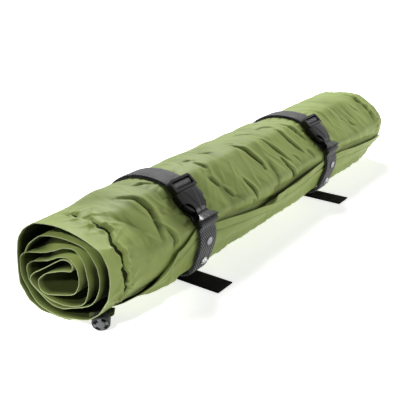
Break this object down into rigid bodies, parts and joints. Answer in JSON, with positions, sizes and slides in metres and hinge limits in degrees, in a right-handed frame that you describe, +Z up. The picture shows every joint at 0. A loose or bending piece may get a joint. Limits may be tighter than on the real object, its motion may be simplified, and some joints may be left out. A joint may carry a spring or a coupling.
{
  "type": "rolled self-inflating sleeping mat",
  "caption": "Rolled self-inflating sleeping mat, fabric over foam, held by webbing straps with side-release buckles, with a screw valve at its outer corner.",
  "frame": {"origin": "centre of the footprint, on the surface that the roll rests on", "axes": "+X along the roll, away from the valve; -Y towards the buckles' side; +Z up"},
  "size_m": [0.5734, 0.1404, 0.0993],
  "materials": {
    "outer_fabric": "coated polyester, satin",
    "inner_fabric": "coated polyester, dull",
    "foam": "open-cell foam",
    "webbing": "twill webbing",
    "buckle_plastic": "moulded acetal",
    "rivet_metal": "plated, satin",
    "stud_metal": "bright plated",
    "valve_face": "moulded nylon",
    "valve_plastic": "moulded polyurethane",
    "seal_rubber": "moulded rubber"
  },
  "bodies": {
    "root": {"mat_outer_sheet": "outer_fabric", "mat_inner_sheet": "inner_fabric", "mat_foam_core": "foam", "front_strap": "webbing", "front_strap_adjuster": "webbing", "front_strap_tail": "webbing", "front_buckle_female": "buckle_plastic", "front_rivet_shank": "rivet_metal", "front_rivet_cap": "rivet_metal", "front_stud_eyelet": "rivet_metal", "front_snap_stud": "stud_metal", "rear_strap": "webbing", "rear_strap_adjuster": "webbing", "rear_strap_tail": "webbing", "rear_buckle_female": "buckle_plastic", "rear_rivet_shank": "rivet_metal", "rear_rivet_cap": "rivet_metal", "rear_stud_eyelet": "rivet_metal", "rear_snap_stud": "stud_metal", "valve_body": "valve_plastic"},
    "front_latch": {"front_buckle_male": "buckle_plastic"},
    "front_left_prong": {"front_prong_left": "buckle_plastic"},
    "front_right_prong": {"front_prong_right": "buckle_plastic"},
    "rear_latch": {"rear_buckle_male": "buckle_plastic"},
    "rear_left_prong": {"rear_prong_left": "buckle_plastic"},
    "rear_right_prong": {"rear_prong_right": "buckle_plastic"},
    "valve_plunger": {"valve_plunger": "valve_plastic", "valve_seal": "seal_rubber"},
    "valve_knob": {"valve_knob": "valve_face"}
  },
  "joints": [
    {"name": "front_latch_slide", "type": "slide", "parent": "root", "child": "front_latch", "axis": [0, 0.766, 0.6428], "range_m": [0, 0.03], "deforming": ["front_strap_adjuster", "front_prong_left", "front_prong_right"]},
    {"name": "front_left_prong_squeeze", "type": "hinge", "parent": "front_latch", "child": "front_left_prong", "pos_m": [-0.16817, -0.02185, 0.08295], "axis": [0, -0.6428, 0.766], "range_deg": [0, 14], "stiffness_Nm_per_rad": 0.4},
    {"name": "front_right_prong_squeeze", "type": "hinge", "parent": "front_latch", "child": "front_right_prong", "pos_m": [-0.14957, -0.02185, 0.08295], "axis": [0, 0.6428, -0.766], "range_deg": [0, 14], "stiffness_Nm_per_rad": 0.4},
    {"name": "rear_latch_slide", "type": "slide", "parent": "root", "child": "rear_latch", "axis": [0, 0.766, 0.6428], "range_m": [0, 0.03], "deforming": ["rear_strap_adjuster", "rear_prong_left", "rear_prong_right"]},
    {"name": "rear_left_prong_squeeze", "type": "hinge", "parent": "rear_latch", "child": "rear_left_prong", "pos_m": [0.09753, -0.02185, 0.08295], "axis": [0, -0.6428, 0.766], "range_deg": [0, 14], "stiffness_Nm_per_rad": 0.4},
    {"name": "rear_right_prong_squeeze", "type": "hinge", "parent": "rear_latch", "child": "rear_right_prong", "pos_m": [0.11613, -0.02185, 0.08295], "axis": [0, 0.6428, -0.766], "range_deg": [0, 14], "stiffness_Nm_per_rad": 0.4},
    {"name": "valve_lift", "type": "slide", "parent": "root", "child": "valve_plunger", "axis": [-0.7654, -0.6091, -0.2079], "range_m": [0, 0.003]},
    {"name": "valve_turn", "type": "hinge", "parent": "valve_plunger", "child": "valve_knob", "pos_m": [-0.28214, -0.02663, 0.00806], "axis": [-0.7654, -0.6091, -0.2079], "range_deg": [0, 270]}
  ],
  "couplings": [
    {"joint": "valve_turn", "follows": "valve_lift", "rad_per_m": 1570.8}
  ]
}
